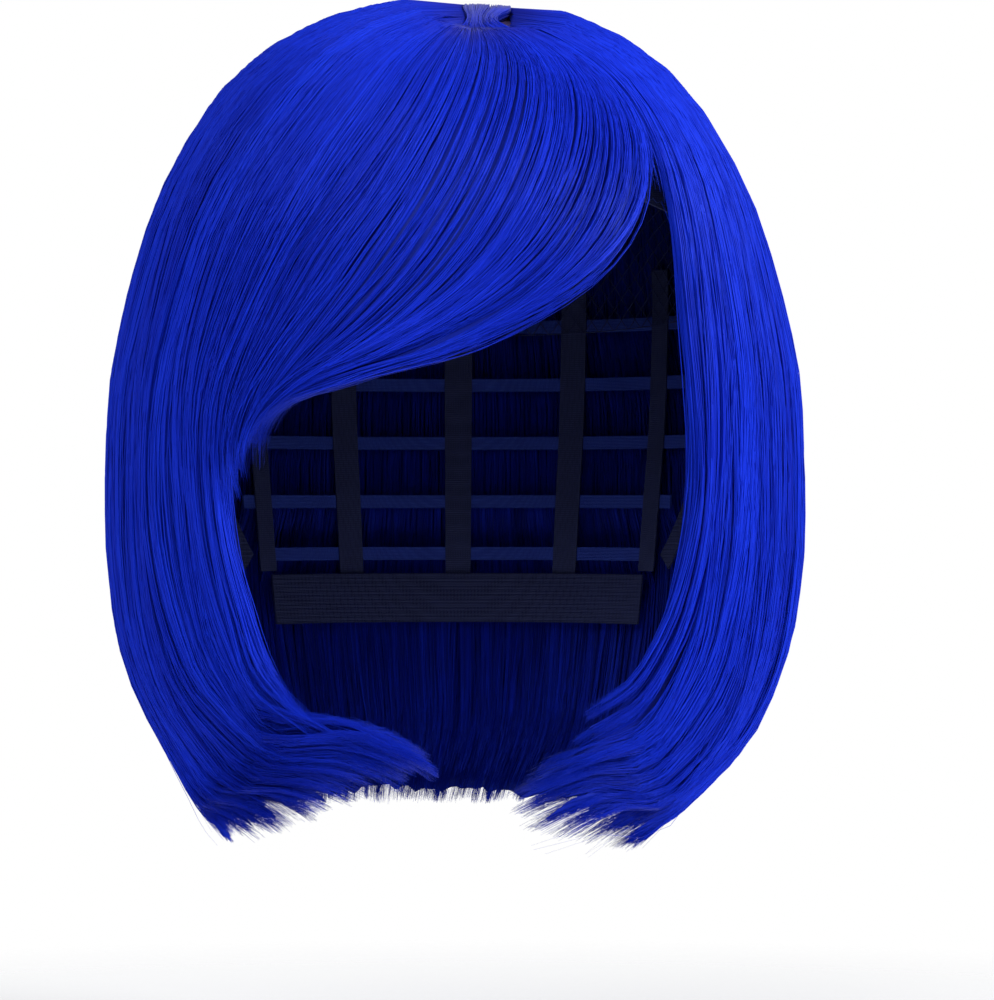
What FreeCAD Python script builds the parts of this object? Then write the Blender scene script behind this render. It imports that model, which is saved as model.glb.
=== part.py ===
# Costume wig: a sewn cap (stretch net, tapes, weft tracks, nape adjusters,
# ear tabs) and layered hair that hangs from the tracks.
#
# Frame: millimetres, +Z up, the face side is -Y, the wearer's left is +X.
# Z = 0 is the head's girth line (brow to the back of the head) and the
# origin is the centre of the opening the head fills.
import FreeCAD, Part
import math, os

V = FreeCAD.Vector
os.makedirs("parts", exist_ok=True)

# ---------------------------------------------------------------- dimensions
HEAD_HALF_W = 76.0        # head half width at the girth line
HEAD_HALF_D = 95.0        # head half depth at the girth line
HEAD_CROWN = 79.0         # crown above the girth line
HEAD_POWER = 2.3          # roundness of the head form
DROP = 150.0              # mm of height per unit of latitude below the girth

NET_IN, NET_OUT = 0.3, 0.8
BAND_IN, BAND_OUT = 0.3, 0.95
RIBBON_IN, RIBBON_OUT = 1.1, 1.6
TRACK_IN, TRACK_OUT = 1.7, 2.35
HAIR_BASE = 2.75          # first hair above the scalp
NAPE_CLEAR = 7.0          # hair kept off the nape adjusters
UNDER_SHARE = 0.55        # share of the depth that the under layers fill
GAP = 0.25                # half the clearance between layers

NAPE_Z = -88.0            # adjuster height
SLOT_PITCH = 5.0
ADJUST_TRAVEL = 4.5
TAB_TOP_Z = 5.0
TAB_TIP_Z = -33.0

WEFT_Z = [-4.0, -22.0, -40.0, -58.0, -74.0]
WEFT_HALF = [74.0, 66.0, 58.0, 50.0, 42.0]       # degrees each side of centre back
WEFT_END = [-144.0, -141.0, -138.0, -134.0, -130.0]

# head below the girth line, and the hair's outer surface (z, distance)
IN_SIDE = [(-175, 50), (-150, 57), (-125, 64), (-95, 69.5), (-60, 73), (-30, 75.2), (0, 76)]
IN_FRONT = [(-175, 44), (-160, 50), (-130, 64), (-95, 80), (-60, 88), (-30, 93), (0, 95)]
IN_BACK = [(-175, 55), (-150, 65), (-125, 75), (-95, 83), (-60, 88.5), (-30, 93), (0, 95)]
OUT_SIDE = [(-175, 40), (-165, 48), (-157, 55), (-149.4, 62.9), (-143.7, 69.5), (-138, 75),
            (-132, 79.9), (-126.4, 83.9), (-115, 90.2), (-103.5, 94.8), (-92, 97.6),
            (-80.5, 98.9), (-69, 99.8), (-57.5, 99.9), (-46, 99.7), (-34.5, 99.2),
            (-23, 98.3), (-11.5, 96.3), (0, 93.7)]
OUT_FRONT = [(-175, 66), (-160, 74), (-140, 82), (-125, 88), (-95, 98), (-60, 105), (-30, 107), (0, 106)]
OUT_BACK = [(-175, 58), (-150, 72), (-135, 86), (-115, 100), (-90, 109), (-60, 113), (-30, 113.5), (0, 112)]
# hair depth over the head (degrees from the crown, mm)
H_SIDE = [(0, 6.4), (30, 7.0), (45, 8.0), (59, 8.9), (67, 10.4), (75, 12.6), (83, 15.0), (90, 17.7)]
H_FRONT = [(0, 6.4), (30, 6.8), (45, 7.4), (60, 8.4), (75, 9.8), (90, 11.0)]
H_BACK = [(0, 6.4), (30, 8.0), (45, 9.8), (60, 12.2), (75, 14.8), (90, 17.0)]

# lines the hair follows from its root to its tip:
# (degrees round from the face, latitude: 0 crown, 1 girth line, 2 = 150 mm below)
F0 = [(25, .47), (31.5, .60), (33, .74), (30, .87), (23, .97), (13, 1.055), (1, 1.125), (-13, 1.170), (-23, 1.20), (-28.5, 1.23)]
F2 = [(18, .445), (21, .58), (19.5, .72), (14.5, .86), (7.5, .97), (-2, 1.065), (-12, 1.13), (-21, 1.175), (-27.5, 1.225), (-30.5, 1.275)]
F4 = [(8, .434), (7, .575), (3.5, .715), (-1.5, .845), (-8, .955), (-15, 1.05), (-21, 1.125), (-27, 1.20), (-31, 1.27), (-32.3, 1.335)]
F6 = [(-3, .428), (-6, .575), (-11, .715), (-17.5, .85), (-24, .965), (-28.5, 1.065), (-32, 1.15), (-34, 1.24), (-34.3, 1.33), (-33, 1.41)]
R0 = [(-7.5, .42), (-10, .570), (-15, .704), (-22, .86), (-30, 1.02), (-35.4, 1.16), (-37.2, 1.30), (-35.6, 1.44), (-31, 1.56), (-27, 1.67), (-23, 1.775)]
R1 = [(-11.5, .385), (-18, .56), (-27, .74), (-36, .93), (-41.5, 1.10), (-44, 1.26), (-43.6, 1.41), (-41, 1.55), (-37, 1.67), (-29, 1.775), (-12, 1.845)]
R2 = [(-15.5, .32), (-26, .52), (-37, .74), (-46, .94), (-51, 1.13), (-53, 1.30), (-53, 1.47), (-51, 1.62), (-47.5, 1.745), (-38, 1.84), (-23, 1.90)]
R3 = [(-20, .255), (-36, .48), (-49, .71), (-56, .92), (-60, 1.12), (-61.5, 1.30), (-62, 1.47), (-61.5, 1.63), (-58.5, 1.77), (-50, 1.885), (-37, 1.955)]
R4 = [(-26, .18), (-58, .42), (-76, .69), (-85, .93), (-89, 1.14), (-90, 1.32), (-90, 1.49), (-89, 1.65), (-86.5, 1.80), (-81, 1.92), (-71, 1.985)]
R5 = [(-30, .125), (-92, .37), (-107, .67), (-113, .93), (-115, 1.14), (-116, 1.32), (-116, 1.49), (-115, 1.65), (-113, 1.79), (-109, 1.91), (-102, 1.97)]
L0 = [(28.5, .455), (35, .60), (38, .74), (38.5, .90), (38.5, 1.05), (39, 1.20), (39.5, 1.35), (38.5, 1.48), (37, 1.60), (33, 1.71), (24, 1.775)]
L1 = [(34, .41), (42, .57), (47, .74), (47.5, .92), (48, 1.09), (48, 1.25), (48, 1.42), (47, 1.57), (45, 1.71), (37, 1.84), (16, 1.91)]
L2 = [(41, .365), (51, .54), (56, .73), (57, .94), (57.5, 1.12), (57.5, 1.30), (57.5, 1.47), (57, 1.63), (55.5, 1.78), (46, 1.91), (22, 1.985)]
L3 = [(55, .285), (73, .49), (81, .73), (85, .96), (87, 1.15), (87.5, 1.33), (87.5, 1.50), (87, 1.66), (85, 1.81), (79, 1.95), (66, 2.01)]
L4 = [(74, .195), (101, .43), (110, .70), (113, .95), (115, 1.15), (116, 1.33), (116, 1.50), (115, 1.66), (113, 1.80), (109, 1.92), (102, 1.975)]
B0 = [(73, .19), (102, .425), (111.8, .695), (114.4, .945), (116.3, 1.145), (117.3, 1.325), (117.3, 1.495), (116.3, 1.655), (114.4, 1.80), (110.8, 1.92), (104.5, 1.98)]
B1 = [(58, .12), (127, .385), (137, .675), (140, .93), (140, 1.13), (140, 1.31), (140, 1.48), (140, 1.64), (139, 1.79), (138, 1.92), (136, 1.995)]
B2 = [(22, .07), (170, .35), (179, .66), (180, .93), (180, 1.13), (180, 1.31), (180, 1.48), (180, 1.64), (180, 1.79), (180, 1.92), (180, 2.0)]
B3 = [(330, .08), (224, .34), (220.5, .66), (220, .93), (220, 1.13), (220, 1.31), (220, 1.48), (220, 1.64), (221, 1.79), (222, 1.92), (224, 1.995)]
B4 = [(325, .11), (266, .355), (251.3, .665), (245.6, .93), (243.7, 1.14), (242.7, 1.32), (242.7, 1.49), (243.7, 1.65), (245.6, 1.79), (249.3, 1.91), (256, 1.975)]


# ------------------------------------------------------------------ the form
def pchip(tab):
    x = [float(a) for a, b in tab]
    y = [float(b) for a, b in tab]
    n = len(x)
    h = [x[i + 1] - x[i] for i in range(n - 1)]
    d = [(y[i + 1] - y[i]) / h[i] for i in range(n - 1)]
    m = [0.0] * n
    m[0], m[-1] = d[0], d[-1]
    for i in range(1, n - 1):
        if d[i - 1] * d[i] > 0:
            w1, w2 = 2 * h[i] + h[i - 1], h[i] + 2 * h[i - 1]
            m[i] = (w1 + w2) / (w1 / d[i - 1] + w2 / d[i])

    def f(q):
        q = min(max(q, x[0]), x[-1])
        i = 0
        while i < n - 2 and q > x[i + 1]:
            i += 1
        t = (q - x[i]) / h[i]
        t2, t3 = t * t, t * t * t
        return ((2 * t3 - 3 * t2 + 1) * y[i] + (t3 - 2 * t2 + t) * h[i] * m[i]
                + (-2 * t3 + 3 * t2) * y[i + 1] + (t3 - t2) * h[i] * m[i + 1])
    return f


fIS, fIF, fIB = pchip(IN_SIDE), pchip(IN_FRONT), pchip(IN_BACK)
fOS, fOF, fOB = pchip(OUT_SIDE), pchip(OUT_FRONT), pchip(OUT_BACK)
fHS, fHF, fHB = pchip(H_SIDE), pchip(H_FRONT), pchip(H_BACK)


def step(a, b, x):
    t = min(max((x - a) / (b - a), 0.0), 1.0)
    return t * t * (3 - 2 * t)


def radii(th, s):
    """scalp radius and hair depth at th (radians round from the face) and latitude s"""
    st, ct = math.sin(th), math.cos(th)
    if s <= 1:
        phi = s * math.pi / 2
        a, f = HEAD_HALF_W, HEAD_HALF_D
        sp, cp = math.sin(phi), math.cos(phi)
        deg = math.degrees(phi)
        hs, hf = fHS(deg), (fHF(deg) if ct > 0 else fHB(deg))
    else:
        z = -(s - 1) * DROP
        a = fIS(z)
        f = fIF(z) if ct > 0 else fIB(z)
        sp, cp = 1.0, 0.0
        hs = fOS(z) - a
        hf = (fOF(z) if ct > 0 else fOB(z)) - f
    r = (abs(sp * st / a) ** HEAD_POWER + abs(sp * ct / f) ** HEAD_POWER
         + abs(cp / HEAD_CROWN) ** HEAD_POWER) ** (-1 / HEAD_POWER)
    return r, hs * st * st + hf * ct * ct


def place(deg, s, off):
    th = math.radians(deg)
    r, h = radii(th, s)
    R = r + off
    if s <= 1:
        phi = s * math.pi / 2
        q, z = R * math.sin(phi), R * math.cos(phi)
    else:
        q, z = R, -(s - 1) * DROP
    return V(q * math.sin(th), -q * math.cos(th), z)


def depth(deg, s):
    return radii(math.radians(deg), s)[1]


def lat(z, deg):
    """latitude whose scalp point is at height z"""
    if z <= 0:
        return 1 - z / DROP
    lo, hi = 0.0, 1.0
    for i in range(40):
        mid = (lo + hi) / 2
        if place(deg, mid, 0).z > z:
            lo = mid
        else:
            hi = mid
    return (lo + hi) / 2


def over(a_deg, b_deg, off):
    """cap point by angle a over the head from the face and angle b to the side"""
    a, b = math.radians(a_deg), math.radians(b_deg)
    d = (math.sin(b), -math.cos(b) * math.cos(a), math.cos(b) * math.sin(a))
    th = math.degrees(math.atan2(d[0], -d[1]))
    q = math.hypot(d[0], d[1])
    if d[2] >= 0:
        return place(th, math.atan2(q, d[2]) / (math.pi / 2), off)
    s = 1.0
    for i in range(30):
        r = radii(math.radians(th), s)[0] + off
        s = 1 + r * (-d[2]) / q / DROP
    return place(th, s, off)


# --------------------------------------------------------------- solid tools
def block(fn, nu, nv):
    """closed solid between fn(u, v, 0) and fn(u, v, 1)"""
    surf = []
    for w in (0, 1):
        grid = [[fn(i / nu, j / nv, w) for j in range(nv + 1)] for i in range(nu + 1)]
        b = Part.BSplineSurface()
        b.interpolate(grid)
        surf.append(b)
    faces = [b.toShape() for b in surf]
    sides = []
    for k in range(4):
        pair = []
        for b in surf:
            u0, u1, v0, v1 = b.bounds()
            c = (b.uIso(u0), b.uIso(u1), b.vIso(v0), b.vIso(v1))[k]
            pair.append(c.toShape())
        sides.append(Part.makeRuledSurface(pair[0], pair[1]))
    shell = Part.makeShell(faces + sides)
    shell.sewShape()
    solid = Part.makeSolid(shell if shell.ShapeType == "Shell" else shell.Shells[0])
    if solid.Volume < 0:
        solid.reverse()
    return solid


def line_at(line, u):
    """smooth point on a line, worked in the flat crown map"""
    pts = [(s * math.sin(math.radians(t)), -s * math.cos(math.radians(t))) for t, s in line]
    n = len(pts) - 1
    x = u * n
    i = min(int(x), n - 1)
    t = x - i
    p1, p2 = pts[i], pts[i + 1]
    p0 = pts[i - 1] if i > 0 else (2 * p1[0] - p2[0], 2 * p1[1] - p2[1])
    p3 = pts[i + 2] if i + 2 <= n else (2 * p2[0] - p1[0], 2 * p2[1] - p1[1])
    out = []
    for k in (0, 1):
        out.append(0.5 * (2 * p1[k] + (p2[k] - p0[k]) * t
                          + (2 * p0[k] - 5 * p1[k] + 4 * p2[k] - p3[k]) * t * t
                          + (3 * p1[k] - p0[k] - 3 * p2[k] + p3[k]) * t ** 3))
    return out


def between(la, lb, u, v):
    a, b = line_at(la, u), line_at(lb, u)
    sa, sb = math.hypot(*a), math.hypot(*b)
    ta = math.degrees(math.atan2(a[0], -a[1]))
    tb = math.degrees(math.atan2(b[0], -b[1]))
    tb = ta + (tb - ta + 180) % 360 - 180
    polar = (ta + (tb - ta) * v, sa + (sb - sa) * v)
    f = (a[0] + (b[0] - a[0]) * v, a[1] + (b[1] - a[1]) * v)
    w = step(0.30, 0.60, (sa + sb) / 2)
    p = (polar[1] * math.sin(math.radians(polar[0])), -polar[1] * math.cos(math.radians(polar[0])))
    g = (f[0] + (p[0] - f[0]) * w, f[1] + (p[1] - f[1]) * w)
    return math.degrees(math.atan2(g[0], -g[1])), math.hypot(g[0], g[1])


def round_deg(deg):
    return abs((deg + 180) % 360 - 180)


def under(deg, s):
    """offset where the under layers stop and the outer hair starts"""
    h = depth(deg, s)
    k = step(46, 58, round_deg(deg))
    return HAIR_BASE + (h - HAIR_BASE) * UNDER_SHARE * step(0.90, 1.18, s) * k


def base(deg, s):
    """offset where the under layers start"""
    return HAIR_BASE + (NAPE_CLEAR - HAIR_BASE) * step(1.40, 1.49, s)


# ------------------------------------------------------------------ hair
def outer_lock(la, lb, edge=0.55, nu=30, nv=6, top_lift=0.0, end_thick=2.2):
    """one outer lock between two lines, 'edge' degrees kept clear at each side"""
    def fn(u, v, w):
        deg, s = between(la, lb, u, v)
        q = max(18.0, 95.0 * min(s, 1.0))
        wd = abs((between(la, lb, u, 1)[0] - between(la, lb, u, 0)[0] + 180) % 360 - 180)
        wl = math.hypot((place(*between(la, lb, u, 1), 5) - place(*between(la, lb, u, 0), 5)).Length, 0.01)
        m = min(edge / wl, 0.3)
        deg, s = between(la, lb, u, m + (1 - 2 * m) * v)
        hi = depth(deg, s)
        lo = under(deg, s) + GAP
        taper = step(0.80, 1.0, u)
        hi2 = hi - 0.35 * taper * (hi - lo)
        lo2 = lo + (hi2 - lo) * taper * 0.45
        if hi2 - lo2 < end_thick:
            mid = (hi2 + lo2) / 2
            lo2 = max(lo, mid - end_thick / 2)
            hi2 = lo2 + end_thick
        edge_round = 1 - 0.22 * (2 * v - 1) ** 4
        return place(deg, s, lo2 if w == 0 else lo2 + (hi2 - lo2) * edge_round)
    return block(fn, nu, nv)


def weft_share(i, z):
    def w(k):
        return step(0, 1, (WEFT_Z[k] + 9 - z) / 20.0)
    ws = [w(k) for k in range(len(WEFT_Z))]
    tot = max(sum(ws), 1.0)
    lo = sum(ws[i + 1:]) / tot
    return lo, lo + ws[i] / tot


def weft_layer(i):
    half = WEFT_HALF[i]

    def fn(u, v, w):
        z = WEFT_Z[i] - 1.5 + (WEFT_END[i] - WEFT_Z[i] + 1.5) * u
        s = 1 - z / DROP
        grow = 1 + (0.06 if i > 1 else 0.0) * u
        deg = 180 + half * grow * (2 * v - 1)
        lo, hi = weft_share(i, z)
        b, t = base(deg, s), under(deg, s) - GAP
        o = b + (t - b) * (lo if w == 0 else hi) + (GAP if w == 0 else -GAP)
        return place(deg, s, o)
    return block(fn, 28, 16)


def side_under(side):
    """short under layer that hangs over the ear from the side band"""
    def fn(u, v, w):
        deg = side * (78 + (101 - 78) * v)
        z = 2.0 + (-118.0 - 2.0) * u
        s = lat(z, deg)
        t = under(deg, s) - 0.9
        th = 1.0 + 2.2 * step(0, 0.3, u)
        return place(deg, s, t - th if w == 0 else t)
    return block(fn, 14, 6)


# ------------------------------------------------------------------ the cap
def ribbon_strip(path, width, o_in, o_out, nu=20):
    """flat tape along a path of (degrees, z)"""
    n = len(path) - 1

    def at(u):
        x = u * n
        i = min(int(x), n - 1)
        t = x - i
        p = [path[max(i - 1, 0)], path[i], path[i + 1], path[min(i + 2, n)]]
        return [0.5 * (2 * p[1][k] + (p[2][k] - p[0][k]) * t
                       + (2 * p[0][k] - 5 * p[1][k] + 4 * p[2][k] - p[3][k]) * t * t
                       + (3 * p[1][k] - p[0][k] - 3 * p[2][k] + p[3][k]) * t ** 3) for k in (0, 1)]

    def xyz(u, off=0.0):
        d, z = at(u)
        return place(d, lat(z, d), off)

    def fn(u, v, w):
        e = 0.01
        a, b = xyz(max(u - e, 0)), xyz(min(u + e, 1))
        d, z = at(u)
        p = xyz(u)
        nrm = V(p.x / HEAD_HALF_W ** 2, p.y / HEAD_HALF_D ** 2, max(p.z, 0) / HEAD_CROWN ** 2)
        nrm.normalize()
        t = (b - a).normalize()
        c = t.cross(nrm).normalize()
        q = p + c * ((v - 0.5) * width)
        th = math.degrees(math.atan2(q.x, -q.y))
        if q.z >= 0:
            s = math.atan2(math.hypot(q.x, q.y), q.z) / (math.pi / 2)
        else:
            s = 1 - q.z / DROP
        return place(th, s, o_in if w == 0 else o_out)
    return block(fn, nu, 3)


def level_strip(d0, d1, z0, z1, o_in, o_out, nu=16):
    def fn(u, v, w):
        d = d0 + (d1 - d0) * u
        return place(d, lat(z0 + (z1 - z0) * v, d), o_in if w == 0 else o_out)
    return block(fn, nu, 2 if abs(z1 - z0) < 6 else 3)


def over_strip(a0, a1, b0, b1, o_in, o_out, nu, nv):
    return block(lambda u, v, w: over(a0 + (a1 - a0) * u, b0 + (b1 - b0) * v,
                                      o_in if w == 0 else o_out), nu, nv)


def root_track(lines, u0, width):
    """weft tape under the roots of a group of locks"""
    n = len(lines) - 1

    def fn(u, v, w):
        x = u * n
        i = min(int(x), n - 1)
        deg, s = between(lines[i], lines[i + 1], 0.0, x - i)
        p = place(deg, s, 0)
        deg2, s2 = between(lines[i], lines[i + 1], 0.06, x - i)
        q = place(deg2, s2, 0)
        d = (q - p).normalize()
        r = p + d * (u0 + width * v)
        th = math.degrees(math.atan2(r.x, -r.y))
        s3 = math.atan2(math.hypot(r.x, r.y), r.z) / (math.pi / 2)
        return place(th, s3, TRACK_IN if w == 0 else TRACK_OUT)
    return block(fn, 6 * n, 2)


def local_frame(deg, z):
    """point on the scalp, tangent away from centre back, outward direction"""
    side = 1 if deg < 180 else -1
    s = lat(z, deg)
    p = place(deg, s, 0)
    t = place(deg - side * 0.5, s, 0) - place(deg + side * 0.5, s, 0)
    t.z = 0
    t.normalize()
    n = V(t.y, -t.x, 0)
    if n.x * p.x + n.y * p.y < 0:
        n = V(-n.x, -n.y, 0)
    return p, t, n


def local_box(fr, p0, p1, n0, n1, z0, z1):
    p, t, n = fr
    c = [p + t * a + n * b for a, b in ((p0, n0), (p1, n0), (p1, n1), (p0, n1))]
    w = Part.makePolygon([V(q.x, q.y, p.z + z0) for q in c + c[:1]])
    return Part.Face(w).extrude(V(0, 0, z1 - z0))


parts = {}

# stretch net over the crown in four sewn panels, and the bands round its edge
for a0, a1, end in ((25.0, 96.9, "front"), (97.1, 184.0, "back")):
    for b0, b1, tag in ((0.1, 75.0, "left"), (-75.0, -0.1, "right")):
        parts["crown_net_%s_%s" % (end, tag)] = over_strip(a0, a1, b0, b1, NET_IN, NET_OUT, 12, 12)
parts["front_band"] = over_strip(17.5, 24.7, -72.0, 72.0, BAND_IN, BAND_OUT, 2, 22)
for side, tag in ((1, "left"), (-1, "right")):
    path = [(side * d, z) for d, z in ((78, 5), (85, 9), (92, 8), (99, 0), (105, -14), (111, -36), (119, -58), (129, -76))]
    parts["side_band_" + tag] = ribbon_strip(path, 7.0, BAND_IN, BAND_OUT)
parts["nape_band"] = level_strip(137.0, 223.0, -95.0, -80.0, BAND_IN, BAND_OUT)

# skin-coloured parting piece on the crown
SKIN = [(-7, -57), (26, -52), (27, -14), (-6, -12)]


def skin_fn(u, v, w):
    a = (SKIN[0][0] + (SKIN[1][0] - SKIN[0][0]) * u, SKIN[0][1] + (SKIN[1][1] - SKIN[0][1]) * u)
    b = (SKIN[3][0] + (SKIN[2][0] - SKIN[3][0]) * u, SKIN[3][1] + (SKIN[2][1] - SKIN[3][1]) * u)
    x, y = a[0] + (b[0] - a[0]) * v, a[1] + (b[1] - a[1]) * v
    q = math.hypot(x, y)
    deg = math.degrees(math.atan2(x, -y))
    lo, hi = 0.0, 1.0
    for i in range(30):
        mid = (lo + hi) / 2
        p = place(deg, mid, 0)
        if math.hypot(p.x, p.y) < q:
            lo = mid
        else:
            hi = mid
    return place(deg, lo, 1.0 if w == 0 else 1.6)


parts["skin_top_patch"] = block(skin_fn, 8, 8)

# vertical ribbons down the open back
for deg, name in ((180, "centre"), (158, "inner_left"), (202, "inner_right"), (136.5, "outer_left"), (223.5, "outer_right")):
    end = -82.5 if abs(deg - 180) < 40 else -79.0
    half = 4.0
    k = math.degrees(half / 90.0)

    def fn(u, v, w, deg=deg, end=end, k=k):
        z = 12.0 + (end - 12.0) * u
        d = deg + k * (2 * v - 1)
        return place(d, lat(z, d), RIBBON_IN if w == 0 else RIBBON_OUT)
    parts["ribbon_" + name] = block(fn, 14, 2)

# weft tracks and the hair sewn to them
for i in range(len(WEFT_Z)):
    parts["weft_track_%d" % (i + 1)] = level_strip(180 - WEFT_HALF[i], 180 + WEFT_HALF[i],
                                                   WEFT_Z[i] - 2.0, WEFT_Z[i] + 2.0, TRACK_IN, TRACK_OUT, 20)
    parts["weft_hair_%d" % (i + 1)] = weft_layer(i)
for side, tag in ((1, "left"), (-1, "right")):
    parts["side_weft_track_" + tag] = ribbon_strip([(side * d, z) for d, z in ((79, 6.5), (85, 9.2), (91, 8.4), (97, 3.2))],
                                                   3.6, TRACK_IN - 0.6, TRACK_OUT - 0.5, 10)
    parts["side_weft_hair_" + tag] = side_under(side)

# crown tracks
parts["fringe_track"] = root_track([F6, F4, F2, F0], 1.5, 3.8)
parts["right_side_track"] = root_track([R0, R1, R2, R3, R4, R5], 1.5, 3.8)
parts["left_side_track"] = root_track([L0, L1, L2, L3, L4], 1.5, 3.8)
parts["back_track"] = root_track([B0, B1, B2, B3, B4], 1.5, 3.8)

# outer hair
parts["fringe_lock_lower"] = outer_lock(F0, F2)
parts["fringe_lock_middle"] = outer_lock(F2, F4)
parts["fringe_lock_upper"] = outer_lock(F4, F6)
for k, (a, b) in enumerate(((R0, R1), (R1, R2), (R2, R3), (R3, R4), (R4, R5))):
    parts["right_side_lock_%d" % (k + 1)] = outer_lock(a, b)
for k, (a, b) in enumerate(((L0, L1), (L1, L2), (L2, L3), (L3, L4))):
    parts["left_side_lock_%d" % (k + 1)] = outer_lock(a, b)
for k, (a, b) in enumerate(((B0, B1), (B1, B2), (B2, B3), (B3, B4))):
    parts["back_lock_%d" % (k + 1)] = outer_lock(a, b, nv=8)

# ear tabs with a flat stay in a pocket
for side, tag in ((1, "left"), (-1, "right")):
    def tab(u, v, w, o0, o1, mt, mb, k, side=side):
        z = TAB_TOP_Z - mt + (TAB_TIP_Z + mb - TAB_TOP_Z + mt) * u
        half = (3.2 + 5.4 * math.sqrt(max(0.0, 1 - u ** 2.4))) * k
        d = side * (64.5 + half * (2 * v - 1))
        return place(d, lat(z, d), o0 if w == 0 else o1)
    body = block(lambda u, v, w: tab(u, v, w, 0.3, 2.1, 0, 0, 1.0), 10, 4)
    pocket = block(lambda u, v, w: tab(u, v, w, 0.75, 1.65, 4.0, 3.0, 0.42), 10, 4)
    stay = block(lambda u, v, w: tab(u, v, w, 0.9, 1.5, 4.4, 3.4, 0.36), 10, 4)
    parts["ear_tab_" + tag] = body.cut(pocket)
    parts["ear_stay_" + tag] = stay

# nape adjusters: slotted tape, casing, strap and hook
for deg, tag in ((153.0, "left"), (207.0, "right")):
    side = 1 if deg < 180 else -1
    tape = level_strip(180 - side * 8, 180 - side * 24, NAPE_Z - 4.2, NAPE_Z + 4.2, 1.15, 1.85, 8)
    for i in range(4):
        dd = 180 - side * (10.5 + i * math.degrees(SLOT_PITCH / 84.0))
        fr = local_frame(dd, NAPE_Z)
        tape = tape.cut(local_box(fr, -1.1, 1.1, -3.0, 6.0, -2.2, 2.2))
    parts["eyelet_tape_" + tag] = tape
    fr = local_frame(deg, NAPE_Z)
    p0, t0, n0 = fr

    def case_fn(u, v, w, fr=fr):
        p, t, n = fr
        a = 3.0 + 14.0 * u
        z = NAPE_Z - 4.6 + 9.2 * v
        q = p + t * a
        if w == 1:
            q = q + n * 4.1
            return V(q.x, q.y, z)
        s = 1 - z / DROP
        lo, hi = -8.0, 2.0
        for i in range(30):
            mid = (lo + hi) / 2
            g = q + n * mid
            th = math.atan2(g.x, -g.y)
            if math.hypot(g.x, g.y) < radii(th, s)[0] + 1.05:
                lo = mid
            else:
                hi = mid
        g = q + n * lo
        return V(g.x, g.y, z)
    case = block(case_fn, 6, 3)
    case = case.cut(local_box(fr, 1.0, 16.2, 2.05, 3.35, -3.4, 3.4))
    parts["strap_casing_" + tag] = case
    parts["adjuster_strap_" + tag] = local_box(fr, -7.5, 15.8, 2.3, 3.1, -3.0, 3.0)
    hook = local_box(fr, -11.5, -5.5, 2.35, 4.1, -4.2, 4.2)
    hook = hook.cut(local_box(fr, -7.6, -5.0, 2.2, 3.2, -3.1, 3.1))
    hook = hook.cut(local_box(fr, -10.3, -8.6, 1.0, 3.1, -5.0, 5.0))
    parts["adjuster_hook_" + tag] = hook
    print("adjuster", tag, "origin", [round(c, 2) for c in (p0.x, p0.y, p0.z)], "away", [round(c, 4) for c in (t0.x, t0.y)])

for name in sorted(parts):
    sh = parts[name]
    solids = sh.Solids
    if len(solids) == 1 and sh.ShapeType != "Solid":
        sh = solids[0]
    sh.exportStep("parts/%s.step" % name)
    bb = sh.BoundBox
    print("%-24s valid %s solids %d vol %9.1f  x %.1f %.1f  y %.1f %.1f  z %.1f %.1f"
          % (name, sh.isValid(), len(solids), sh.Volume, bb.XMin, bb.XMax, bb.YMin, bb.YMax, bb.ZMin, bb.ZMax))
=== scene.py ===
import bpy
import math
import numpy as np
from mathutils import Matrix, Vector


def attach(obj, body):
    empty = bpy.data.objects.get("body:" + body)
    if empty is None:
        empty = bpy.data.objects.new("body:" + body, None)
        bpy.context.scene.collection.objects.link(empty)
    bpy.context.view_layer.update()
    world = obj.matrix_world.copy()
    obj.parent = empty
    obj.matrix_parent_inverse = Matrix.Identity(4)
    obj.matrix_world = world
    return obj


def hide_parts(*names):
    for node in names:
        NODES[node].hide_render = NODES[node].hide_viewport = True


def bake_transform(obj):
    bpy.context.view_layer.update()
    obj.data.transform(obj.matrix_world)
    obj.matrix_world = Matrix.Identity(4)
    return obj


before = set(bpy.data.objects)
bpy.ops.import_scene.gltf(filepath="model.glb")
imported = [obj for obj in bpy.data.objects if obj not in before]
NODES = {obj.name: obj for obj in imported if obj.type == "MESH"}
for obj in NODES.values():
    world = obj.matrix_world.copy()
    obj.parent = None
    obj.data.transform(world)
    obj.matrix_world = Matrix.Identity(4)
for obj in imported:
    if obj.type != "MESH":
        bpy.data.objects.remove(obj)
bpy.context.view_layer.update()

# ------------------------------------------------------------------ camera
cam_data = bpy.data.cameras.new("camera")
cam_data.lens = 150.3
cam_data.sensor_width = 36.0
cam_data.clip_start = 0.05
cam_data.clip_end = 50.0
cam = bpy.data.objects.new("camera", cam_data)
bpy.context.scene.collection.objects.link(cam)
cam.location = (0.012, -1.2, -0.0575)
cam.rotation_euler = (math.radians(90), 0, 0)
bpy.context.scene.camera = cam
bpy.context.scene.view_settings.view_transform = "Standard"

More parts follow.
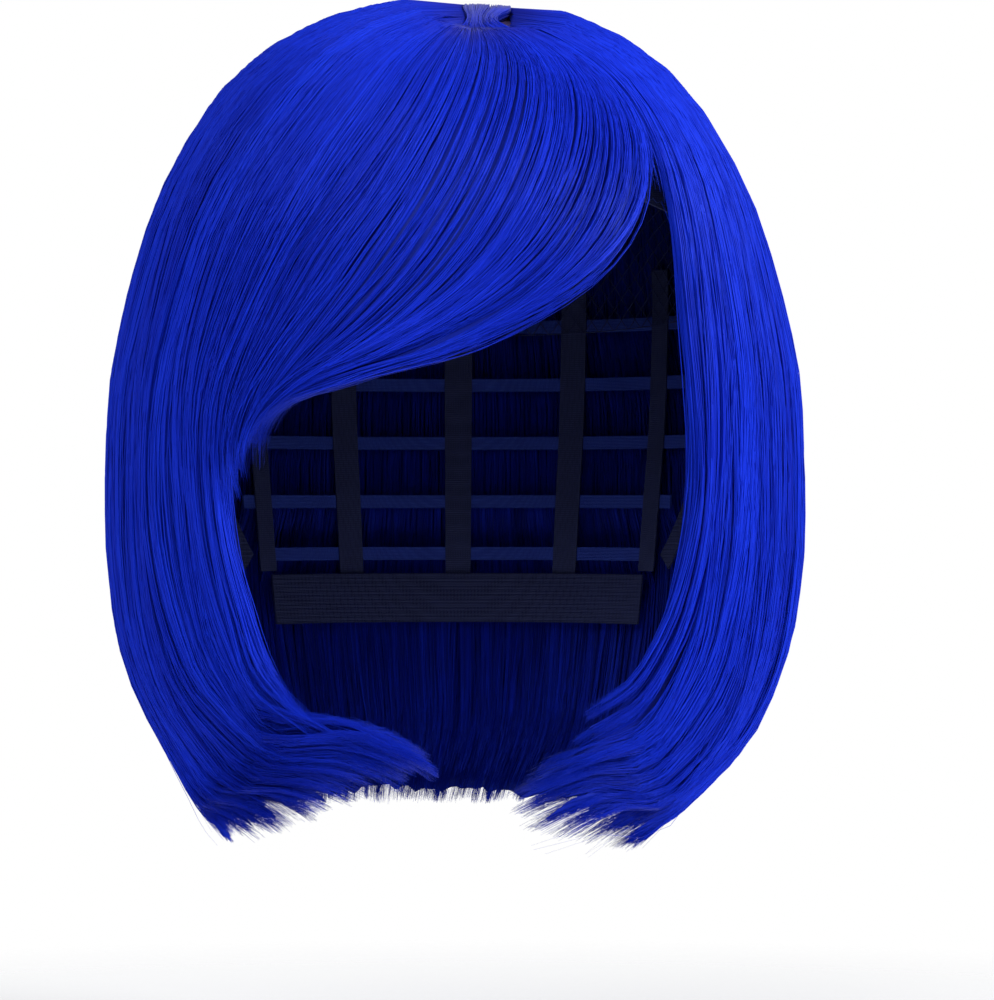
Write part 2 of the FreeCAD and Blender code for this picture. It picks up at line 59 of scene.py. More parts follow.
# ------------------------------------------------- head form, in millimetres
HEAD_HALF_W, HEAD_HALF_D, HEAD_CROWN, HEAD_POWER, DROP = 76.0, 95.0, 79.0, 2.3, 150.0
IN_SIDE = [(-175, 50), (-150, 57), (-125, 64), (-95, 69.5), (-60, 73), (-30, 75.2), (0, 76)]
IN_FRONT = [(-175, 44), (-160, 50), (-130, 64), (-95, 80), (-60, 88), (-30, 93), (0, 95)]
IN_BACK = [(-175, 55), (-150, 65), (-125, 75), (-95, 83), (-60, 88.5), (-30, 93), (0, 95)]
OUT_SIDE = [(-175, 40), (-165, 48), (-157, 55), (-149.4, 62.9), (-143.7, 69.5), (-138, 75),
            (-132, 79.9), (-126.4, 83.9), (-115, 90.2), (-103.5, 94.8), (-92, 97.6),
            (-80.5, 98.9), (-69, 99.8), (-57.5, 99.9), (-46, 99.7), (-34.5, 99.2),
            (-23, 98.3), (-11.5, 96.3), (0, 93.7)]
OUT_FRONT = [(-175, 66), (-160, 74), (-140, 82), (-125, 88), (-95, 98), (-60, 105), (-30, 107), (0, 106)]
OUT_BACK = [(-175, 58), (-150, 72), (-135, 86), (-115, 100), (-90, 109), (-60, 113), (-30, 113.5), (0, 112)]
H_SIDE = [(0, 6.4), (30, 7.0), (45, 8.0), (59, 8.9), (67, 10.4), (75, 12.6), (83, 15.0), (90, 17.7)]
H_FRONT = [(0, 6.4), (30, 6.8), (45, 7.4), (60, 8.4), (75, 9.8), (90, 11.0)]
H_BACK = [(0, 6.4), (30, 8.0), (45, 9.8), (60, 12.2), (75, 14.8), (90, 17.0)]


def pchip(tab):
    x = np.array([a for a, b in tab], float)
    y = np.array([b for a, b in tab], float)
    h = np.diff(x)
    d = np.diff(y) / h
    m = np.zeros(len(x))
    m[0], m[-1] = d[0], d[-1]
    for i in range(1, len(x) - 1):
        if d[i - 1] * d[i] > 0:
            w1, w2 = 2 * h[i] + h[i - 1], h[i] + 2 * h[i - 1]
            m[i] = (w1 + w2) / (w1 / d[i - 1] + w2 / d[i])

    def f(q):
        q = np.clip(np.asarray(q, float), x[0], x[-1])
        i = np.clip(np.searchsorted(x, q) - 1, 0, len(x) - 2)
        t = (q - x[i]) / h[i]
        t2, t3 = t * t, t * t * t
        return ((2 * t3 - 3 * t2 + 1) * y[i] + (t3 - 2 * t2 + t) * h[i] * m[i]
                + (-2 * t3 + 3 * t2) * y[i + 1] + (t3 - t2) * h[i] * m[i + 1])
    return f


fIS, fIF, fIB = pchip(IN_SIDE), pchip(IN_FRONT), pchip(IN_BACK)
fOS, fOF, fOB = pchip(OUT_SIDE), pchip(OUT_FRONT), pchip(OUT_BACK)
fHS, fHF, fHB = pchip(H_SIDE), pchip(H_FRONT), pchip(H_BACK)


def step(a, b, x):
    t = np.clip((np.asarray(x, float) - a) / (b - a), 0.0, 1.0)
    return t * t * (3 - 2 * t)


def radii(th, s):
    """scalp radius and hair depth at th (radians round from the face) and latitude s"""
    st, ct = np.sin(th), np.cos(th)
    up = s <= 1
    phi = np.minimum(s, 1.0) * math.pi / 2
    z = -(np.maximum(s, 1.0) - 1) * DROP
    front = ct > 0
    a = np.where(up, HEAD_HALF_W, fIS(z))
    f = np.where(up, HEAD_HALF_D, np.where(front, fIF(z), fIB(z)))
    sp = np.where(up, np.sin(phi), 1.0)
    cp = np.where(up, np.cos(phi), 0.0)
    r = (np.abs(sp * st / a) ** HEAD_POWER + np.abs(sp * ct / f) ** HEAD_POWER
         + np.abs(cp / HEAD_CROWN) ** HEAD_POWER) ** (-1 / HEAD_POWER)
    deg = np.degrees(phi)
    hs = np.where(up, fHS(deg), fOS(z) - fIS(z))
    hf = np.where(up, np.where(front, fHF(deg), fHB(deg)),
                  np.where(front, fOF(z) - fIF(z), fOB(z) - fIB(z)))
    return r, hs * st ** 2 + hf * ct ** 2


def place(th, s, off):
    """point (mm) at th radians, latitude s, off mm above the scalp"""
    r, h = radii(th, s)
    R = r + off
    up = s <= 1
    phi = np.minimum(s, 1.0) * math.pi / 2
    z = np.where(up, R * np.cos(phi), -(np.maximum(s, 1.0) - 1) * DROP)
    q = np.where(up, R * np.sin(phi), R)
    return np.stack([q * np.sin(th) - 5.5 * step(122.0, 156.0, -z), -q * np.cos(th), z], -1)


def over(a_deg, b_deg, off):
    """cap point by angle a over the head from the face and angle b to the side"""
    a, b = np.radians(np.asarray(a_deg, float)), np.radians(np.asarray(b_deg, float))
    a, b = np.broadcast_arrays(a, b)
    d = np.stack([np.sin(b), -np.cos(b) * np.cos(a), np.cos(b) * np.sin(a)], -1)
    th = np.arctan2(d[..., 0], -d[..., 1])
    q = np.hypot(d[..., 0], d[..., 1])
    s = np.arctan2(q, d[..., 2]) / (math.pi / 2)
    low = d[..., 2] < 0
    s2 = np.ones_like(s)
    for i in range(30):
        r = radii(th, s2)[0] + off
        s2 = np.where(low, 1 + r * (-d[..., 2]) / np.maximum(q, 1e-6) / DROP, 1.0)
    return place(th, np.where(low, s2, s), off)


def lat(z, deg):
    th = np.radians(np.asarray(deg, float))
    z = np.asarray(z, float)
    z, th = np.broadcast_arrays(z, th)
    lo, hi = np.zeros(z.shape), np.ones(z.shape)
    for i in range(30):
        mid = (lo + hi) / 2
        above = place(th, mid, 0.0)[..., 2] > z
        lo, hi = np.where(above, mid, lo), np.where(above, hi, mid)
    return np.where(z <= 0, 1 - z / DROP, (lo + hi) / 2)


# --------------------------------------------------------------- materials
def new_mat(name):
    m = bpy.data.materials.new(name)
    m.use_nodes = True
    nt = m.node_tree
    for n in list(nt.nodes):
        nt.nodes.remove(n)
    out = nt.nodes.new("ShaderNodeOutputMaterial")
    b = nt.nodes.new("ShaderNodeBsdfPrincipled")
    nt.links.new(b.outputs[0], out.inputs[0])
    return m, nt, b


def node(nt, kind, **inputs):
    n = nt.nodes.new(kind)
    for k, v in inputs.items():
        if k.startswith("_"):
            setattr(n, k[1:], v)
        else:
            n.inputs[k.replace("__", " ")].default_value = v
    return n


def mixc(nt, fac, a, b, mode="MIX"):
    n = nt.nodes.new("ShaderNodeMix")
    n.data_type = "RGBA"
    n.blend_type = mode
    for sock, val in ((n.inputs[0], fac), (n.inputs[6], a), (n.inputs[7], b)):
        if isinstance(val, (int, float)):
            sock.default_value = val
        elif isinstance(val, tuple):
            sock.default_value = val if len(val) == 4 else val + (1.0,)
        else:
            nt.links.new(val, sock)
    return n.outputs[2]


def math_n(nt, op, a, b=None, clamp=False):
    n = nt.nodes.new("ShaderNodeMath")
    n.operation = op
    n.use_clamp = clamp
    for i, val in enumerate((a, b)):
        if val is None:
            continue
        if isinstance(val, (int, float)):
            n.inputs[i].default_value = val
        else:
            nt.links.new(val, n.inputs[i])
    return n.outputs[0]


def hair_material(name, painted_shade, mid, light, rough=0.44, spec=0.25):
    m, nt, b = new_mat(name)
    at = nt.nodes.new("ShaderNodeAttribute")
    at.attribute_name = "hair"
    sep = nt.nodes.new("ShaderNodeSeparateColor")
    nt.links.new(at.outputs["Color"], sep.inputs[0])
    tone, depth, root = sep.outputs[0], sep.outputs[1], sep.outputs[2]
    # tone picks between the mid and light blue at random; the depth channel is painted shade, pulling hair that lies
    # deep, near the roots or on an underside towards the dark colour; root tints the roots purple
    c = mixc(nt, tone, mid, light)
    c = mixc(nt, depth, painted_shade, c)
    c = mixc(nt, root, c, (0.040, 0.022, 0.20))
    nt.links.new(c, b.inputs["Base Color"])
    b.inputs["Roughness"].default_value = rough
    b.inputs["Specular IOR Level"].default_value = spec
    b.inputs["Specular Tint"].default_value = (0.35, 0.5, 1.0, 1.0)
    return m


# the first colour is the painted shade colour, used for hair lying in shade under other hair
HAIR = hair_material("hair_fibre", (0.0012, 0.0032, 0.085), (0.0022, 0.0092, 0.33), (0.0058, 0.033, 0.66))

# ------------------------------------------------------------ strand engine
SEG = 25


def flat(line):
    t = np.radians([a for a, b in line])
    s = np.array([b for a, b in line])
    return np.stack([s * np.sin(t), -s * np.cos(t)], -1)


def catmull(P, x):
    """P (K, ...) control points, x parameters in 0..K-1"""
    K = len(P)
    i = np.clip(np.floor(x).astype(int), 0, K - 2)
    t = (x - i)
    t = t.reshape(t.shape + (1,) * (P.ndim - 1))
    ext = np.concatenate([2 * P[:1] - P[1:2], P, 2 * P[-1:] - P[-2:-1]], 0)
    p0, p1, p2, p3 = ext[i], ext[i + 1], ext[i + 2], ext[i + 3]
    return 0.5 * (2 * p1 + (p2 - p0) * t + (2 * p0 - 5 * p1 + 4 * p2 - p3) * t * t
                  + (3 * p1 - p0 - 3 * p2 + p3) * t ** 3)


FINE_U, FINE_V = 96, 12


def field(lines):
    """dense map (U, V, 2) of flat crown coordinates between the given lines"""
    L = np.stack([catmull(flat(l), np.linspace(0, len(l) - 1, FINE_U + 1)) for l in lines], 0)
    V = (len(lines) - 1) * FINE_V
    x = np.linspace(0, len(lines) - 1, V + 1)
    cart = catmull(L, x)
    s = np.hypot(L[..., 0], L[..., 1])
    th = np.arctan2(L[..., 0], -L[..., 1])
    for k in range(1, len(lines)):
        d = th[k] - th[k - 1]
        th[k] = th[k - 1] + (d + math.pi) % (2 * math.pi) - math.pi
    pol = catmull(np.stack([th, s], -1), x)
    w = step(0.30, 0.60, pol[..., 1])[..., None]
    polc = np.stack([pol[..., 1] * np.sin(pol[..., 0]), -pol[..., 1] * np.cos(pol[..., 0])], -1)
    out = cart * (1 - w) + polc * w
    return out.transpose(1, 0, 2)


def sample(F, u, v):
    """bilinear read of the field at u 0..1 and v 0..(lines-1)"""
    U, V = F.shape[0] - 1, F.shape[1] - 1
    x = np.clip(u, 0, 1) * U
    y = np.clip(v * FINE_V, 0, V)
    i, j = np.minimum(x.astype(int), U - 1), np.minimum(y.astype(int), V - 1)
    a, b = (x - i)[..., None], (y - j)[..., None]
    return (F[i, j] * (1 - a) * (1 - b) + F[i + 1, j] * a * (1 - b)
            + F[i, j + 1] * (1 - a) * b + F[i + 1, j + 1] * a * b)


class Strands:
    """collects strand centre lines and colours, then makes closed tapered tubes"""

    def __init__(self):
        self.P, self.W, self.C = [], [], []

    def add(self, P, W, C):
        self.P.append(P)
        self.W.append(W)
        self.C.append(C)

    def mesh(self, name, limit=1250, order=None, tags=None):
        P, W, C = (np.concatenate(x) for x in (self.P, self.W, self.C))
        key = order(P) if order else np.random.default_rng(len(P)).random(len(P))
        idx = np.argsort(key, kind="stable")
        P, W, C = P[idx], W[idx], C[idx]
        count = len(tags) if tags else int(math.ceil(len(P) / limit))
        out = []
        for k in range(count):
            sel = slice(k * len(P) // count, (k + 1) * len(P) // count)
            full = name + ("_" + tags[k] if tags else "_%d" % (k + 1) if count > 1 else "")
            out.append(tube_mesh(full, P[sel], W[sel], C[sel]))
        return out


def tube_mesh(name, P, W, C, mat=None):
    """P (n, m, 3) mm, W (n, m) mm radius, C (n, m, 3)"""
    n, m = P.shape[:2]
    T = np.gradient(P, axis=1)
    T /= np.maximum(np.linalg.norm(T, axis=2, keepdims=True), 1e-9)
    N = P * np.array([1 / HEAD_HALF_W ** 2, 1 / HEAD_HALF_D ** 2, 1 / HEAD_CROWN ** 2])
    N[..., 2] = np.maximum(N[..., 2], 0)
    N -= T * np.sum(N * T, 2, keepdims=True)
    N /= np.maximum(np.linalg.norm(N, axis=2, keepdims=True), 1e-9)
    B = np.cross(T, N)
    ang = np.array([90.0, 210.0, 330.0]) * math.pi / 180
    ring = (P[:, :, None, :] + W[:, :, None, None] *
            (np.cos(ang)[None, None, :, None] * B[:, :, None, :] + np.sin(ang)[None, None, :, None] * N[:, :, None, :]))
    verts = ring.reshape(-1, 3) / 1000.0
    base = (np.arange(n) * m * 3)[:, None, None]
    row = (np.arange(m - 1) * 3)[None, :, None]
    k = np.arange(3)[None, None, :]
    k2 = (k + 1) % 3
    quads = np.stack([base + row + k, base + row + k2, base + row + 3 + k2, base + row + 3 + k], -1).reshape(-1, 4)
    caps0 = np.stack([base[:, 0, 0] + 2, base[:, 0, 0] + 1, base[:, 0, 0]], -1)
    last = base[:, 0, 0] + (m - 1) * 3
    caps1 = np.stack([last, last + 1, last + 2], -1)
    me = bpy.data.meshes.new(name)
    nq, nc = len(quads), 2 * n
    loops = np.concatenate([quads.ravel(), caps0.ravel(), caps1.ravel()])
    starts = np.concatenate([np.arange(nq) * 4, nq * 4 + np.arange(nc) * 3])
    me.vertices.add(len(verts))
    me.vertices.foreach_set("co", verts.astype(np.float32).ravel())
    me.loops.add(len(loops))
    me.loops.foreach_set("vertex_index", loops.astype(np.int32))
    me.polygons.add(nq + nc)
    me.polygons.foreach_set("loop_start", starts.astype(np.int32))
    me.polygons.foreach_set("use_smooth", np.ones(nq + nc, bool))
    me.update(calc_edges=True)
    att = me.attributes.new("hair", "FLOAT_COLOR", "POINT")
    col = np.repeat(C.reshape(n * m, 3), 3, 0)
    att.data.foreach_set("color", np.concatenate([col, np.ones((len(col), 1))], 1).astype(np.float32).ravel())
    # one column of a texture for each strand
    uv = me.uv_layers.new(name="OFBake")
    ext = float(np.max(P.reshape(-1, 3).max(0) - P.reshape(-1, 3).min(0)))
    size = 1024.0 if ext > 165.0 else 512.0
    cols = int((size - 30) // 3)
    rows = int(math.ceil(n / cols))
    cx, cy = np.arange(n) % cols, np.arange(n) // cols
    x0 = (cx * 3 + 4.5) / size
    hgt = (size - 16) / rows / size
    y0 = cy * hgt + 8 / size + 2 / size
    yl = hgt - 6 / size
    vx = x0[:, None, None] + (np.array([-1.0, 0.0, 1.0]) / size)[None, None, :] + np.zeros((1, m, 1))
    vy = (y0[:, None] + yl * (np.arange(m) / (m - 1))[None, :])[:, :, None] + np.zeros((1, 1, 3))
    vuv = np.stack([vx, vy], -1).reshape(-1, 2)
    luv = vuv[loops]
    # the wrap-round faces reuse the middle of the column
    uv.data.foreach_set("uv", luv.astype(np.float32).ravel())
    ob = bpy.data.objects.new(name, me)
    bpy.context.scene.collection.objects.link(ob)
    me.materials.append(mat or HAIR)
    return ob


def undercoat(name, F, seed, rho=0.70, thick=0.9, u0=0.0, u1=0.90, jag=0.05, band=None, start=0.6,
              tone=(0.1, 0.6), painted_shade=0.55, margin=0.03, root_zone=0.0):
    """the matted hair just under the loose strands: one closed, thin, streaked sheet, darkened with painted shade and
    darker still on its underside
    """
    rng = np.random.default_rng(seed)
    VL = (F.shape[1] - 1) / FINE_V
    nv, nu = int(VL * 70), 34
    v = np.linspace(margin, VL - margin, nv)

    def noise(step_len):
        k = int(nv / step_len) + 4
        return np.interp(np.arange(nv) / step_len, np.arange(k), rng.random(k))
    ue = u1 + jag * (0.6 * noise(9.0) + 0.4 * noise(2.5) - 0.5) * 2
    t = np.linspace(0, 1, nu)[:, None]
    u = u0 + (ue[None, :] - u0) * t
    g = sample(F, u, np.broadcast_to(v[None, :], u.shape))
    th, sl = np.arctan2(g[..., 0], -g[..., 1]), np.hypot(g[..., 0], g[..., 1])
    r, h = radii(th, sl)
    lo, hi = (band or outer_band)(th, sl, h)
    target = lo + (hi - lo) * rho
    arc = np.linalg.norm(np.diff(place(th, sl, h * 0.5), axis=0), axis=2).cumsum(0)
    arc = np.concatenate([np.zeros((1, nv)), arc], 0)
    rise = 0.45 + 0.55 * step(0.0, 1.0, arc / (2.0 + 1.0 * target))
    off = start + (target - start) * rise + 0.25 * (noise(6.0) - 0.5)[None, :] * step(0, 20, arc)
    w = thick * (1 - 0.75 * step(0.7, 1.0, t)) * (0.35 + 0.65 * rise)
    top, bot = place(th, sl, off), place(th, sl, off - w)
    verts = np.concatenate([top.reshape(-1, 3), bot.reshape(-1, 3)]) / 1000.0
    idx = np.arange(nu * nv).reshape(nu, nv)
    a, b, c, d = idx[:-1, :-1], idx[:-1, 1:], idx[1:, 1:], idx[1:, :-1]
    q_top = np.stack([a, d, c, b], -1).reshape(-1, 4)
    q_bot = np.stack([a, b, c, d], -1).reshape(-1, 4) + nu * nv
    ring = np.concatenate([idx[0, :-1], idx[:-1, -1], idx[-1, :0:-1], idx[:0:-1, 0]])
    nxt = np.roll(ring, -1)
    wall = np.stack([ring, nxt, nxt + nu * nv, ring + nu * nv], -1)
    quads = np.concatenate([q_top, q_bot, wall])
    me = bpy.data.meshes.new(name)
    me.from_pydata(verts.tolist(), [], quads.tolist())
    me.polygons.foreach_set("use_smooth", np.ones(len(quads), bool))
    # the default tone range (0.1, 0.6) keeps the sheet on the darker side: painted shade for hair lying under the loose
    # strands
    tn = 0.35 * noise(14.0) + 0.35 * noise(4.0) + 0.3 * rng.random(nv)
    tn = tone[0] + (tone[1] - tone[0]) * (tn[None, :] + 0.10 * np.sin(arc / 30.0 + 5 * noise(20.0)[None, :]))
    C = np.zeros((nu, nv, 4))
    C[..., 0] = np.clip(tn, 0, 1)
    # painted shade: the sheet lies under the strands and is darker again for 25 mm from the roots
    C[..., 1] = painted_shade * (0.75 + 0.25 * step(0, 25, arc)) * (0.8 + 0.4 * noise(3.0))[None, :]
    C[..., 2] = root_zone * (1 - step(3.0, 14.0, arc))
    C[..., 3] = 1
    # painted shade: the underside copy of the sheet is darker than its top
    low = C.copy()
    low[..., 1] *= 0.45
    att = me.attributes.new("hair", "FLOAT_COLOR", "POINT")
    att.data.foreach_set("color", np.concatenate([C.reshape(-1, 4), low.reshape(-1, 4)]).astype(np.float32).ravel())
    uu = np.broadcast_to(np.linspace(0, 1, nu)[:, None], (nu, nv)).ravel()
    vv = np.broadcast_to(np.linspace(0, 1, nv)[None, :], (nu, nv)).ravel()
    uvv = np.concatenate([np.stack([0.01 + 0.97 * vv, 0.01 + 0.47 * uu], -1), np.stack([0.01 + 0.97 * vv, 0.51 + 0.47 * uu], -1)])
    uv = me.uv_layers.new(name="OFBake")
    loops = np.zeros(len(me.loops), np.int32)
    me.loops.foreach_get("vertex_index", loops)
    uv.data.foreach_set("uv", uvv[loops].astype(np.float32).ravel())
    ob = bpy.data.objects.new(name, me)
    bpy.context.scene.collection.objects.link(ob)
    me.materials.append(HAIR)
    return ob


def surface_frame(P):
    T = np.gradient(P, axis=1)
    T /= np.maximum(np.linalg.norm(T, axis=2, keepdims=True), 1e-9)
    N = P * np.array([1 / HEAD_HALF_W ** 2, 1 / HEAD_HALF_D ** 2, 1 / HEAD_CROWN ** 2])
    N[..., 2] = np.maximum(N[..., 2], 0)
    N -= T * np.sum(N * T, 2, keepdims=True)
    N /= np.maximum(np.linalg.norm(N, axis=2, keepdims=True), 1e-9)
    return T, N, np.cross(T, N)


def outer_band(th, s, h):
    k = step(46, 58, np.abs(np.degrees(np.arctan2(np.sin(th), np.cos(th)))))
    return 2.4 + (h - 2.4) * 0.55 * step(0.90, 1.18, s) * k, h


def grow(S, F, n, seed, v_range=None, depth=(0.0, 1.0), u_root=(0.0, 0.3), u_tip=(0.945, 1.0), depth_bias=0.62,
         clump=9.0, tight=0.50, wave=1.1, frizz=0.32, width=0.145, root_zone=0.0, band=outer_band,
         tone=(0.15, 0.85), start=1.0, fray=0.0, tip_power=0.55, edge=0.0, edge_w=1.0, lift=0.6):
    """adds n strands that follow the field F"""
    rng = np.random.default_rng(seed)
    VL = (F.shape[1] - 1) / FINE_V
    lo_v, hi_v = v_range if v_range else (0.0, VL)
    vv = np.linspace(lo_v, hi_v, 200)
    mids = np.zeros(200)
    for um in (0.35, 0.55, 0.75):
        g = sample(F, np.full(200, um), vv)
        th, s = np.arctan2(g[:, 0], -g[:, 1]), np.hypot(g[:, 0], g[:, 1])
        p = place(th, s, np.full(200, 10.0))
        mids[1:] += np.linalg.norm(np.diff(p, axis=0), axis=1)
    cum = np.cumsum(mids)
    length = cum[-1] / 3
    v = np.interp(rng.random(n) * cum[-1], cum, vv)
    q = rng.random(n) ** depth_bias
    rho = depth[0] + (depth[1] - depth[0]) * q
    v = v + edge * (1 - np.clip(rho, 0, 1)) * np.clip(1 - v / edge_w, 0, 1)
    # two sizes of clump: locks, and thinner bundles inside them
    ids, cvs, crs = [], [], []
    for size, wr in ((clump, 1.8), (clump * 0.3, 3.0)):
        nc = max(3, int(length / size * (3 if size == clump else 5)))
        cv = np.interp((np.arange(nc) + rng.random(nc)) / nc * cum[-1], cum, vv)
        cr = depth[0] + (depth[1] - depth[0]) * rng.random(nc) ** 0.6
        span = (hi_v - lo_v) / nc
        best = np.full(n, 1e9)
        cid = np.zeros(n, int)
        for k0 in range(0, nc, 64):
            k1 = min(nc, k0 + 64)
            sc = (np.abs(v[:, None] - cv[None, k0:k1]) / span + wr * nc / 40.0 * np.abs(rho[:, None] - cr[None, k0:k1])
                  + 0.8 * rng.random((n, k1 - k0)))
            j = np.argmin(sc, 1)
            val = sc[np.arange(n), j]
            better = val < best
            best[better] = val[better]
            cid[better] = j[better] + k0
        ids.append(cid)
        cvs.append(cv)
        crs.append(cr)
    c1, c2 = ids
    n1, n2 = len(cvs[0]), len(cvs[1])
    tone1, tone2, len1 = rng.random(n1), rng.random(n2), rng.random(n1)
    ph = rng.random((4, n1)) * 6.28
    fr1 = 0.6 + 0.8 * rng.random(n1)
    tg1 = tight * (0.45 + 0.85 * rng.random(n1))
    t = np.linspace(0, 1, SEG + 1)[None, :]
    inner = 1 - q
    u0 = u_root[0] + (u_root[1] - u_root[0]) * inner * rng.random(n) ** 0.7
    u1 = u_tip[0] + (u_tip[1] - u_tip[0]) * (0.4 * len1[c1] + 0.6 * rng.random(n)) ** tip_power
    u = u0[:, None] + (u1 - u0)[:, None] * t
    k2 = 0.6 * step(0.02, 0.35, t)
    k1 = np.minimum(tg1[c1][:, None] * step(0.25, 1.0, t) * (1 + 0.4 * step(0.78, 1.0, t)), 0.9)
    ve = v[:, None] + (cvs[1][c2] - v)[:, None] * k2
    ve = ve + (cvs[0][c1][:, None] - ve) * k1
    re = rho[:, None] + (crs[1][c2] - rho)[:, None] * k2 * 0.7
    re = re + (crs[0][c1][:, None] - re) * k1 * 0.6
    g = sample(F, u, ve)
    th, s = np.arctan2(g[..., 0], -g[..., 1]), np.hypot(g[..., 0], g[..., 1])
    r, h = radii(th, s)
    lo, hi = band(th, s, h)
    target = lo + (hi - lo) * re
    arc = np.linalg.norm(np.diff(place(th, s, h * 0.5), axis=1), axis=2).cumsum(1)
    arc = np.concatenate([np.zeros((n, 1)), arc], 1)
    rise = lift + (1 - lift) * step(0.0, 1.0, arc / (2.0 + 1.0 * target))
    off = start + (target - start) * rise
    P = place(th, s, off)
    T, N, B = surface_frame(P)
    away = step(0.05, 0.5, t)
    end = step(0.72, 1.0, t)
    wb = wave * np.sin(fr1[c1][:, None] * arc / 26.0 + ph[0][c1][:, None]) * away
    wn = 0.45 * wave * np.sin(fr1[c1][:, None] * arc / 31.0 + ph[1][c1][:, None]) * away
    sp = rng.random((2, n)) * 6.28
    sf = 0.5 + rng.random(n)
    wb = wb + frizz * np.sin(sf[:, None] * arc / 17.0 + sp[0][:, None]) * away
    wn = wn + 0.6 * frizz * np.sin(sf[:, None] * arc / 15.0 + sp[1][:, None]) * away
    if fray:
        wb = wb + fray * rng.normal(size=n)[:, None] * end
        wn = wn + 0.5 * fray * (rng.normal(size=n)[:, None] - 0.3) * end
    P = P + B * wb[..., None] + N * np.minimum(wn, 0.7 + 0 * wn)[..., None]
    W = width * (0.75 + 0.5 * rng.random(n))[:, None] * (1 - 0.8 * step(0.80, 1.0, t)) * (0.7 + 0.3 * step(0, 0.08, t))
    tn = tone[0] + (tone[1] - tone[0]) * (0.3 * tone1[c1] + 0.3 * tone2[c2] + 0.4 * rng.random(n))
    # painted shade: strands lying deep in the hair, and the first 25 mm from each root, are pulled towards the dark
    # colour
    painted_depth_shade = 0.25 + 0.75 * step(0.0, 0.75, rho)
    C = np.zeros((n, SEG + 1, 3))
    C[..., 0] = np.clip(tn[:, None] + 0.12 * np.sin(arc / 40.0 + sp[0][:, None]), 0, 1)
    C[..., 1] = painted_depth_shade[:, None] * (0.75 + 0.25 * step(0.0, 25.0, arc))
    C[..., 2] = root_zone * (1 - step(3.0, 18.0, arc)) * (0.3 + 0.7 * rng.random(n))[:, None]
    S.add(P, W, C)
    return S


# ------------------------------------------------------- the lines hair follows
F0 = [(13.5, .425), (31.5, .60), (34.5, .74), (31, .87), (23.5, .97), (13, 1.055), (1, 1.125), (-13, 1.170), (-23, 1.20), (-28.5, 1.24)]
F2 = [(10, .43), (21, .58), (20, .72), (14.5, .86), (7.5, .97), (-2, 1.065), (-12, 1.13), (-21, 1.175), (-27.5, 1.225), (-30.5, 1.285)]
F4 = [(6.5, .427), (7, .575), (3.5, .715), (-1.5, .845), (-8, .955), (-15, 1.05), (-21, 1.125), (-27, 1.20), (-31, 1.27), (-32.3, 1.345)]
F6 = [(3.4, .418), (-6.5, .575), (-12, .715), (-18.8, .85), (-25.8, .965), (-30.3, 1.065), (-33.5, 1.15), (-35.5, 1.24), (-35.3, 1.33), (-33, 1.43)]
R0 = [(3.5, .41), (-7.5, .570), (-12.5, .704), (-19.5, .86), (-28, 1.02), (-34, 1.16), (-36.4, 1.30), (-35.8, 1.44), (-34.0, 1.56), (-32.0, 1.67), (-29, 1.775)]
R0b = [(4, .38), (-13, .55), (-20, .717), (-28, .895), (-35, 1.06), (-39.5, 1.21), (-40, 1.355), (-39, 1.495), (-37, 1.62), (-33.5, 1.745), (-19, 1.84)]
R1 = [(4, .35), (-18, .53), (-27, .73), (-36, .93), (-41.5, 1.10), (-44, 1.26), (-43.6, 1.41), (-42.3, 1.55), (-39.5, 1.68), (-31, 1.80), (-2, 1.875)]
R2 = [(5, .28), (-26, .49), (-37, .73), (-46, .94), (-51, 1.13), (-53, 1.30), (-53, 1.47), (-51, 1.62), (-46.5, 1.755), (-33, 1.86), (-9, 1.905)]
R3 = [(7.4, .212), (-36, .45), (-49, .70), (-56, .92), (-60, 1.12), (-61.5, 1.30), (-62, 1.47), (-61.5, 1.64), (-57.5, 1.79), (-46, 1.91), (-25, 1.955)]
R3b = [(10, .177), (-45, .42), (-62, .69), (-71, .925), (-75, 1.13), (-76, 1.31), (-76, 1.48), (-75, 1.65), (-72, 1.81), (-62, 1.94), (-42, 2.0)]
R4 = [(12.5, .142), (-56, .38), (-76, .68), (-85, .93), (-89, 1.14), (-90, 1.32), (-90, 1.49), (-89, 1.66), (-86, 1.82), (-79, 1.95), (-66, 2.02)]
R5 = [(26, .103), (-90, .34), (-107, .66), (-113.5, .93), (-115.7, 1.14), (-116.6, 1.32), (-116.6, 1.49), (-115.6, 1.655), (-113, 1.81), (-109, 1.93), (-102, 2.01)]
L0 = [(16.3, .411), (33, .58), (36.5, .74), (37, .90), (37.5, 1.05), (38.5, 1.20), (39.5, 1.35), (38.2, 1.48), (35.8, 1.60), (31, 1.71), (23, 1.775)]
L0b = [(17.8, .386), (37.5, .565), (41.5, .74), (42, .91), (42.7, 1.07), (43.2, 1.225), (43.5, 1.385), (42.8, 1.525), (40.5, 1.655), (34.5, 1.785), (22, 1.85)]
L1 = [(19.7, .36), (42, .55), (47, .74), (47.5, .92), (48, 1.09), (48, 1.25), (48, 1.42), (47, 1.57), (45, 1.71), (36, 1.85), (14, 1.91)]
L2 = [(23.8, .296), (51, .51), (56, .73), (57, .94), (57.5, 1.12), (57.5, 1.30), (57.5, 1.47), (57, 1.63), (55.5, 1.79), (46, 1.93), (20, 1.985)]
L2b = [(28, .255), (61, .47), (68, .72), (71, .95), (72, 1.13), (72.5, 1.31), (72.5, 1.48), (72, 1.65), (70, 1.80), (62, 1.945), (42, 2.02)]
L3 = [(33, .215), (73, .43), (81, .71), (85, .96), (87, 1.15), (87.5, 1.33), (87.5, 1.50), (87, 1.66), (85, 1.82), (79, 1.965), (64, 2.03)]
